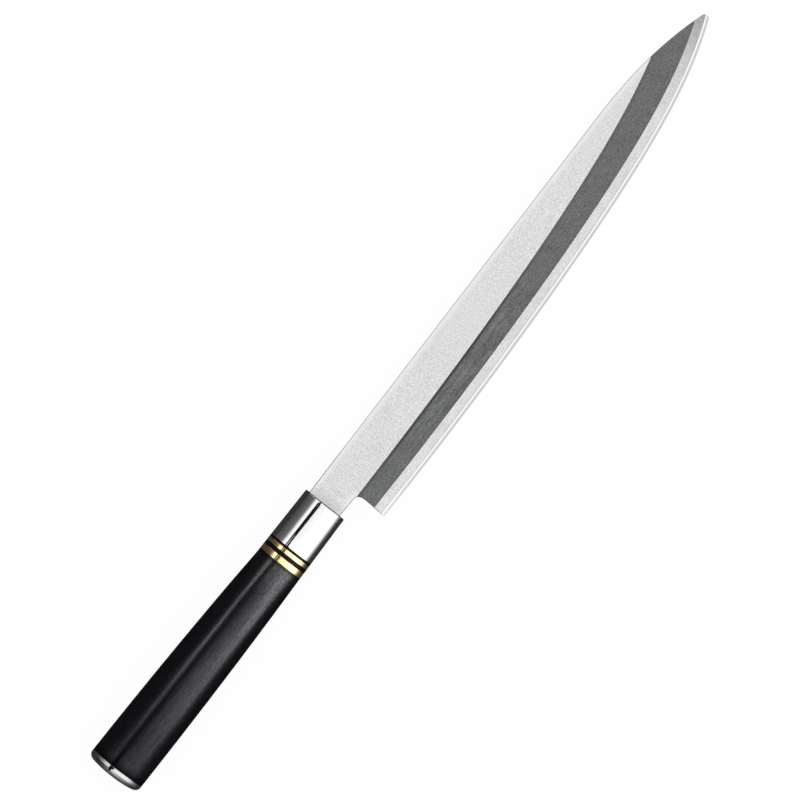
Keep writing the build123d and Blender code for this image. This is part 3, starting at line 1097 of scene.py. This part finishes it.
stationing = {
    "gap": 2, "ringGap": 1, "beside": 0.04, "faceShares": (0.85, 0.6, 0.35, 0.15, 0),
    "rimSteps": 4, "lipSteps": 6, "domeSteps": 12,
}


# A station is its place along the axis, how far it is drawn in, 1 on the bore, its share of the way
# out from the axis, and 1 on the domed end
def endRound(x, radius, way, steps=stationing["rimSteps"]):
    # stations over a rounded rim: way is 1 from the face to the side, at a front end, or -1 at a rear end
    turns = [i / steps * pi / 2 for i in range(steps + 1)]
    return [(x - way * radius * (1 - cos(a)), radius * (1 - sin(a)), 0, 1, 0) for a in turns][::way]


def straightRun(front, rear, gap):
    # along a straight stretch, with a station close to each end so that the roundings there stay narrow
    beside = stationing["beside"]
    count = max(2, round((front - rear) / gap))
    places = [front - beside, *np.linspace(front, rear, count + 1)[1:-1], rear + beside]
    return [(x, 0, 0, 1, 0) for x in places]


def faceRings(x, inset, way, domed=0):
    # rings over an end face: way is 1 from its rim to the axis, or -1 back
    return [(x, inset, 0, share, domed) for share in stationing["faceShares"][::way]]


def boreWall(x):
    return (x, 0, 1, 1, 0)


def boreMiddle(x):
    return (x, 0, 1, 0, 0)


def sideOf(front, rear, gap, rim):
    # the whole side of a piece, with its rounded rims
    return endRound(front, rim, 1) + straightRun(front - rim, rear + rim, gap) + endRound(rear, rim, -1)


def domedEnd():
    # from the cap's side round to its domed face and on to the axis
    radius, least = cap["round"], radians(cap["domeAngle"])
    turns = np.linspace(pi / 2, least, stationing["domeSteps"] + 1)
    rim = [(cap["end"] + radius * (cos(least) - cos(a)), radius * (1 - sin(a)), 0, 1, 1) for a in turns]
    return rim + faceRings(cap["end"], domeInset(), 1, 1)


def buildSleeve(name, node, materialName, stations, closedRing=False):
    stations = [station for k, station in enumerate(stations) if k == 0 or station != stations[k - 1]]
    piece = addObject(name, sleeveBase(name, stations, closedRing))
    shaping = piece.modifiers.new("dSection", "NODES")
    shaping.node_group = handleTree
    values = {**handleSizes(), "Material": handleMaterials[materialName]}
    for item in handleTree.interface.items_tree:
        if item.item_type == "SOCKET" and item.in_out == "INPUT" and item.name in values:
            shaping[item.identifier] = values[item.name]
    mesh = applyModifiers(piece, name)
    faceOutwards(mesh, name)
    smoothFaces(mesh)
    standFor(piece, node)


def buildFerrule():
    rear, wall, rim, lip = -collar["ferruleLength"], -collar["wall"], collar["rim"], collar["mouthRound"]
    outside = faceRings(0, lip, -1) + endRound(0, lip, 1, stationing["lipSteps"])
    outside += straightRun(-lip, rear + rim, stationing["gap"]) + endRound(rear, rim, -1)
    buildSleeve("ferruleCollar", "ferrule", "mirrorSteel",
                outside + [boreWall(rear), boreWall(wall), boreMiddle(wall)])


def buildRings(materialName, names, places):
    for (name, node), (front, rear) in zip(names.items(), places):
        side = sideOf(front, rear, stationing["ringGap"], collar["rim"])
        buildSleeve(name, node, materialName, [boreWall(front)] + side + [boreWall(rear)], True)


def buildGrip():
    front, rear, rim, boreEnd = handle["gripFront"], grip["rear"], grip["rim"], grip["boreEnd"]
    side = sideOf(front, rear, stationing["gap"], rim)
    buildSleeve("woodGrip", "handle_grip", "blackWood",
                [boreMiddle(boreEnd), boreWall(boreEnd), boreWall(front)] + side + faceRings(rear, rim, 1))


def buildCap():
    front, rim = grip["rear"], collar["rim"]
    face = faceRings(front, rim, -1) + endRound(front, rim, 1)
    buildSleeve("endCap", "end_cap", "capSteel",
                face + [(front - rim - stationing["beside"], 0, 0, 1, 0)] + domedEnd())


buildFerrule()
spacerNames = {"frontSpacer": "front_spacer", "middleSpacer": "middle_spacer"}
buildRings("blackSpacer", spacerNames, collar["spacers"])
buildRings("ringBrass", {"frontRing": "front_ring", "rearRing": "rear_ring"}, collar["rings"])
buildGrip()
buildCap()
print("handle built")


# Pieces that stay inside keep their CAD solids
inside = {
    "core_dowel": {
        "colour": (0.62, 0.47, 0.3, 1), "deep": (0.5, 0.35, 0.2, 1),
        "roughness": (0.55, 0.65), "metal": 0.0},
    "tang_bedding": {
        "colour": (0.5, 0.38, 0.2, 1), "deep": (0.42, 0.3, 0.15, 1),
        "roughness": (0.25, 0.35), "metal": 0.0},
    "cap_pins": {
        "colour": (0.62, 0.62, 0.63, 1), "deep": (0.5, 0.5, 0.51, 1),
        "roughness": (0.3, 0.4), "metal": 1.0},
}
insideLines = {"perMetre": (60, 900, 900), "depth": 0.004}
for nodeName, look in inside.items():
    material, tree, sockets = newMaterial(nodeName + "Finish", Metallic=look["metal"])
    marks = useLines(tree, insideLines["perMetre"])
    dress(tree, sockets, mixColour(tree, marks["Lines"], look["deep"], look["colour"]),
          remap(tree, marks["Clouds"], *noiseSpan, *look["roughness"]),
          bump(tree, marks["Lines"], insideLines["depth"]))
    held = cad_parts[nodeName]
    held.data.materials.clear()
    held.data.materials.append(material)
print("inner pieces dressed")


# Floor, panels and light
studio = {
    "floorTone": 0.95, "floorGrain": 0.01, "grainPerMetre": 400.0, "floorReach": 9.0, "shadowShare": 0.035,
    "worldLevel": 0.85, "keyPlace": (0.35, -0.9, 1.6), "keySize": 1.4, "keyWatts": 6.0,
}
# Panels round the handle, as a studio sets them round a polished piece
tent = {
    "radius": 0.16, "rear": -0.262, "front": -0.04, "angles": (20, 94), "stations": 23, "lowest": 0.0008,
    "coolRise": (-0.2185, -0.2165), "coolFade": (-0.098, -0.097), "coolColour": (0.99, 0.97, 1.1, 1),
}
# Places run along the knife, and each pair of a list is an angle from straight above, in degrees, and
# how bright the panel is there
spinePanel = {
    "places": [
        (-0.2184, "cap"), (-0.2173, "butt"), (-0.152, "middle"), (-0.102, "front"), (-0.0968, "front"),
        (-0.0963, "rings"), (-0.0893, "rings"), (-0.0887, "ferrule")],
    "cap": [(27, 0.8), (40, 0.8), (46, 0.66), (52, 0.5), (58, 0.34), (64, 0.22), (76, 0.09), (90, 0.04)],
    "butt": [(27, 0.12), (33, 0.2), (44, 0.11), (58, 0.06), (94, 0.03)],
    "middle": [(27, 0.2), (33, 0.6), (38, 1.3), (42, 1.3), (46, 0.5), (51, 0.2), (60, 0.07), (94, 0.03)],
    "front": [
        (27, 0.05), (32, 0.15), (36, 0.9), (40, 2.1), (44, 1.5), (48, 0.3), (53, 0.12), (62, 0.07),
        (94, 0.04)],
    "rings": [
        (27, 2.0), (33, 2.9), (43, 2.9), (47, 1.6), (53, 0.5), (60, 0.26), (66, 0.17), (77, 0.11),
        (94, 0.1)],
    "ferrule": [
        (27, 1.1), (40, 1.1), (46, 0.75), (50, 0.4), (54, 0.22), (60, 0.145), (76, 0.1), (94, 0.065)],
}
edgePanel = {
    "places": [
        (-0.2184, "cap"), (-0.2173, "butt"), (-0.152, "middle"), (-0.102, "front"), (-0.0948, "front"),
        (-0.0943, "rings"), (-0.0863, "rings"), (-0.0857, "ferrule")],
    "cap": [(27, 0.9), (34, 1.05), (52, 1.02), (60, 0.9), (66, 0.6), (70, 0.42), (77, 0.2), (90, 0.1)],
    "butt": [
        (24, 0.08), (28, 0.2), (34, 0.32), (42, 0.44), (54, 0.46), (62, 0.4), (70, 0.23), (77, 0.1),
        (94, 0.03)],
    "middle": [
        (25, 0.15), (28, 0.3), (32, 0.6), (41, 1.05), (48, 1.3), (54, 1.8), (61, 1.4), (67, 0.4),
        (74, 0.1), (94, 0.03)],
    "front": [
        (25, 0.05), (28, 0.1), (31, 0.2), (36, 0.5), (43, 1.2), (52, 2.7), (57, 2.9), (61, 2.5),
        (65, 1.6), (70, 0.3), (76, 0.1), (94, 0.05)],
    "rings": [
        (27, 2.5), (31, 2.8), (37, 2.9), (45, 3.1), (54, 3.5), (60, 3.5), (66, 2.8), (73, 1.7),
        (80, 0.6), (84, 0.25), (94, 0.14)],
    "ferrule": [
        (27, 1.0), (38, 1.15), (44, 1.25), (50, 1.5), (57, 1.65), (63, 1.6), (70, 1.4), (76, 1.0),
        (80, 0.7), (85, 0.3), (90, 0.12)],
}
# Flat panels over and under the knife and behind it. The pairs of a list are a place and a level, and
# those of edgeReach are a place along the knife and how far the strip reaches there
strip = {
    "lift": 0.072, "middle": 0.0015, "middleHalf": 0.0036, "soft": 0.001, "middleRear": -0.0955,
    "spineReach": 0.0312,
    "edgeReach": [(-0.2184, 0.0248), (-0.2173, 0.0291), (-0.0855, 0.0291), (-0.083, 0.0256)],
    "levels": [
        (-0.262, 0.006), (-0.2085, 0.006), (-0.2075, 0.05), (-0.15, 0.09), (-0.095, 0.14),
        (-0.093, 0.03), (-0.0785, 0.01), (-0.0612, 0.006)],
    "middleLevels": [(-0.095, 0.14), (-0.093, 1.8), (-0.085, 1.6), (-0.0785, 0.02), (-0.0612, 0.006)],
}
bladeCard = {
    "edgeReach": 0.0264, "levels": [(-0.0612, 2.6), (-0.059, 1.7), (-0.056, 1.2), (-0.052, 1.0)],
}
lowPanel = {
    "lift": 0.0006, "along": [(-0.1, 1.0), (-0.096, 1.7), (-0.087, 1.7), (-0.085, 1.0)],
    "across": [(-0.16, 0.07), (-0.1, 0.05), (-0.05, 0.036), (0.0, 0.034), (0.16, 0.045)],
}
curtain = {
    "fromButt": 0.0525, "lift": 0.003, "rows": range(15, 100, 5),
    "down": [(15, 1.0), (34, 0.8), (54, 0.45), (68, 0.26), (80, 0.15), (104, 0.1)],
    "across": [
        (-0.16, 0.35), (-0.07, 0.6), (-0.03, 1.0), (0.015, 0.75), (0.04, 0.3), (0.08, 0.1), (0.16, 0.05)],
    "bandHalf": 0.026, "bandSoft": 0.002, "bandDown": 65, "bandLevel": 0.03,
}


def seenMask(tree):
    path = addNode(tree, "ShaderNodeLightPath").outputs
    return calc(tree, "MAXIMUM", calc(tree, "MAXIMUM", path["Is Camera Ray"], path["Is Glossy Ray"]),
                path["Is Transmission Ray"])


def makeWorld():
    world = bpy.data.worlds.new("paleStudio")
    world.use_nodes = True
    tree = world.node_tree
    background = tree.nodes["Background"].inputs
    background["Color"].default_value = white
    level = remap(tree, seenMask(tree), 0, 1, studio["worldLevel"], 1.0, smooth=False)
    put(tree, background["Strength"], level)
    scene.world = world


def stageMaterial(name):
    material = bpy.data.materials.new(name)
    material.use_nodes = True
    material.node_tree.nodes.clear()
    return material, material.node_tree


def showSurface(tree, shader):
    put(tree, addNode(tree, "ShaderNodeOutputMaterial").inputs["Surface"], shader.outputs[0])


def stageSheet(name, columns, material, levels=None):
    # a sheet through columns of points; levels, where given, is how bright each point is
    count = len(columns[0])
    points = [Vector(point) for column in columns for point in column]
    faces = [(a, a + 1, a + count + 1, a + count)
             for i in range(len(columns) - 1) for a in range(i * count, i * count + count - 1)]
    mesh = bpy.data.meshes.new(name)
    mesh.from_pydata(points, [], faces)
    mesh.materials.append(material)
    if levels is not None:
        mesh.attributes.new("glow", "FLOAT", "POINT").data.foreach_set("value", [float(v) for v in levels])
    made = addObject(name, mesh)
    return made


def makeFloor():
    material, tree = stageMaterial("paleFloor")
    grain = noise(tree, objectPlace(tree), scale=studio["grainPerMetre"], detail=2.0)
    tone, change = studio["floorTone"], studio["floorGrain"]
    colour = mixColour(tree, grain, grey(tone - change), grey(tone + change))
    diffuse = addNode(tree, "ShaderNodeBsdfDiffuse", {"Color": colour})
    glow = addNode(tree, "ShaderNodeEmission", {"Color": white, "Strength": 1.0})
    share = times(tree, seenMask(tree), 1 - studio["shadowShare"])
    mixed = addNode(tree, "ShaderNodeMixShader", {0: share, 1: diffuse.outputs[0], 2: glow.outputs[0]})
    showSurface(tree, mixed)
    reach = studio["floorReach"]
    stageSheet("floor", [[(x, -reach, 0), (x, reach, 0)] for x in (-reach, reach)], material)


def makePanelMaterial():
    # a little cooler over the wood
    material, tree = stageMaterial("studioPanel")
    x = alongKnife(tree)
    cool = times(tree, rising(tree, x, *tent["coolRise"]), falling(tree, x, *tent["coolFade"]))
    colour = mixColour(tree, cool, white, tent["coolColour"])
    glow = readAttribute(tree, "glow")
    showSurface(tree, addNode(tree, "ShaderNodeEmission", {"Color": colour, "Strength": glow}))
    return material


def stops(pairs, value):
    return float(np.interp(value, [pair[0] for pair in pairs], [pair[1] for pair in pairs]))


def makePanels():
    material = makePanelMaterial()

    def panel(name, columns, levels):
        made = stageSheet(name, columns, material, levels)
        made.visible_camera = made.visible_diffuse = made.visible_shadow = made.visible_transmission = False

    def flatPanel(name, lengths, lift, sidesAt, levelAt):
        # sidesAt gives the places across at x, and levelAt how bright the k-th of them is
        panel(name, [[(x, mouth.y + y, lift) for y in sidesAt(x)] for x in lengths],
              [levelAt(x, k) for x in lengths for k in range(len(sidesAt(x)))])

    rear, front, radius, lowest = tent["rear"], tent["front"], tent["radius"], tent["lowest"]
    angles = range(tent["angles"][0], tent["angles"][1] + 1)
    for name, side, way in (("spinePanel", spinePanel, 1), ("edgePanel", edgePanel, -1)):
        lengths = set(np.round(np.linspace(rear, front, tent["stations"]), 4))
        lengths |= {place for place, part in side["places"]}
        columns, levels = [], []
        for x in sorted(lengths):
            for a in angles:
                levels.append(stops([(place, stops(side[part], a)) for place, part in side["places"]], x))
            columns.append([(x, mouth.y + way * radius * sin(radians(a)),
                             max(lowest, mouth.z + radius * cos(radians(a)))) for a in angles])
        panel(name, columns, levels)

    # a dark strip over the ridge, with a lighter middle over the rings, and a bright card in front of it
    middle, half, soft = strip["middle"], strip["middleHalf"], strip["soft"]
    across = [middle + y for y in (-half - soft, soft - half, half - soft, half + soft)]

    def stripLevel(x, k):
        inMiddle = k in (2, 3) and x > strip["middleRear"]
        return stops(strip["middleLevels" if inMiddle else "levels"], x)

    lengths = sorted({x for x, level in strip["levels"] + strip["middleLevels"] + strip["edgeReach"]})
    flatPanel("blackStrip", lengths, strip["lift"],
              lambda x: [-stops(strip["edgeReach"], x), *across, strip["spineReach"]], stripLevel)
    flatPanel("bladeCard", [x for x, level in bladeCard["levels"]], strip["lift"],
              lambda x: (-bladeCard["edgeReach"], strip["spineReach"]),
              lambda x, k: stops(bladeCard["levels"], x))
    flatPanel("floorPanel", [rear] + [x for x, level in lowPanel["along"]] + [front], lowPanel["lift"],
              lambda x: [y for y, level in lowPanel["across"]],
              lambda x, k: lowPanel["across"][k][1] * stops(lowPanel["along"], x))

    # a curtain past the butt, with a dark band where the strip above goes on
    band, soft, away = curtain["bandHalf"], curtain["bandSoft"], curtain["fromButt"]
    sides = sorted({y for y, level in curtain["across"]} | {-band, band, soft - band, band - soft})
    downs = sorted({a for a, level in curtain["down"]} | set(curtain["rows"]))
    heights = [max(lowest, mouth.z + curtain["lift"] + away / tan(radians(a))) for a in downs]

    def curtainLevel(y, a):
        inBand = abs(y) < band - soft / 2 and a < curtain["bandDown"]
        level = stops(curtain["down"], a) * stops(curtain["across"], y)
        return level * curtain["bandLevel"] if inBand else level

    panel("rearCurtain", [[(rear, mouth.y + y, z) for z in heights] for y in sides],
          [curtainLevel(y, a) for y in sides for a in downs])


def makeKeyLight():
    light = bpy.data.lights.new("softKey", "AREA")
    light.size = studio["keySize"]
    light.energy = studio["keyWatts"]
    lamp = addObject("softKey", light)
    lamp.location = studio["keyPlace"]
    lamp.rotation_euler = (-Vector(studio["keyPlace"])).to_track_quat("-Z", "Y").to_euler()
    lamp.visible_camera = lamp.visible_glossy = False


makeWorld()
makeFloor()
makePanels()
makeKeyLight()

# Camera, straight above as in the photograph
shot = {"above": 2.3, "place": (-0.004315, 0.008176), "turn": -51.3, "lens": 237.9, "sensor": 36}
cameraData = bpy.data.cameras.new("shotCamera")
cameraData.sensor_width = shot["sensor"]
cameraData.lens = shot["lens"]
camera = addObject("shotCamera", cameraData)
camera.location = (*shot["place"], shot["above"] + mouth.z)
camera.rotation_euler = (0, 0, radians(shot["turn"]))
scene.camera = camera
print("studio set")
